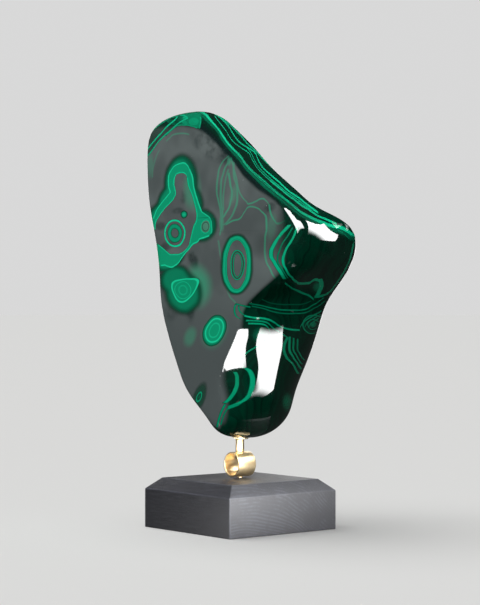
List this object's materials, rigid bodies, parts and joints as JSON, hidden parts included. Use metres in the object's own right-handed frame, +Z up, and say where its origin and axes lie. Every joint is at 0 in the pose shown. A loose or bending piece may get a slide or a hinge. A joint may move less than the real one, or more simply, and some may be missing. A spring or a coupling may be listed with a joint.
{
  "type": "malachite sculpture on stand",
  "caption": "Free-form polished green banded stone with a flat sawn face, on a brass post and tube over a square dark wood block with a chamfered top edge.",
  "frame": {"origin": "middle of the wooden block's underside, where the stand rests", "axes": "+Z up; -Y out of the stone's flat polished face and the tube's mouth; +X towards the stone's knob"},
  "size_m": [0.2241, 0.125, 0.3694],
  "materials": {
    "malachite": "polished, dark green with bright green bands and rings",
    "brass": "satin",
    "dark_wood": "dark stained, open grain, low sheen"
  },
  "bodies": {
    "root": {"malachite_stone": "malachite", "brass_cup": "brass", "brass_stem": "brass", "brass_tube": "brass", "brass_foot": "brass", "wood_base": "dark_wood"}
  },
  "joints": []
}
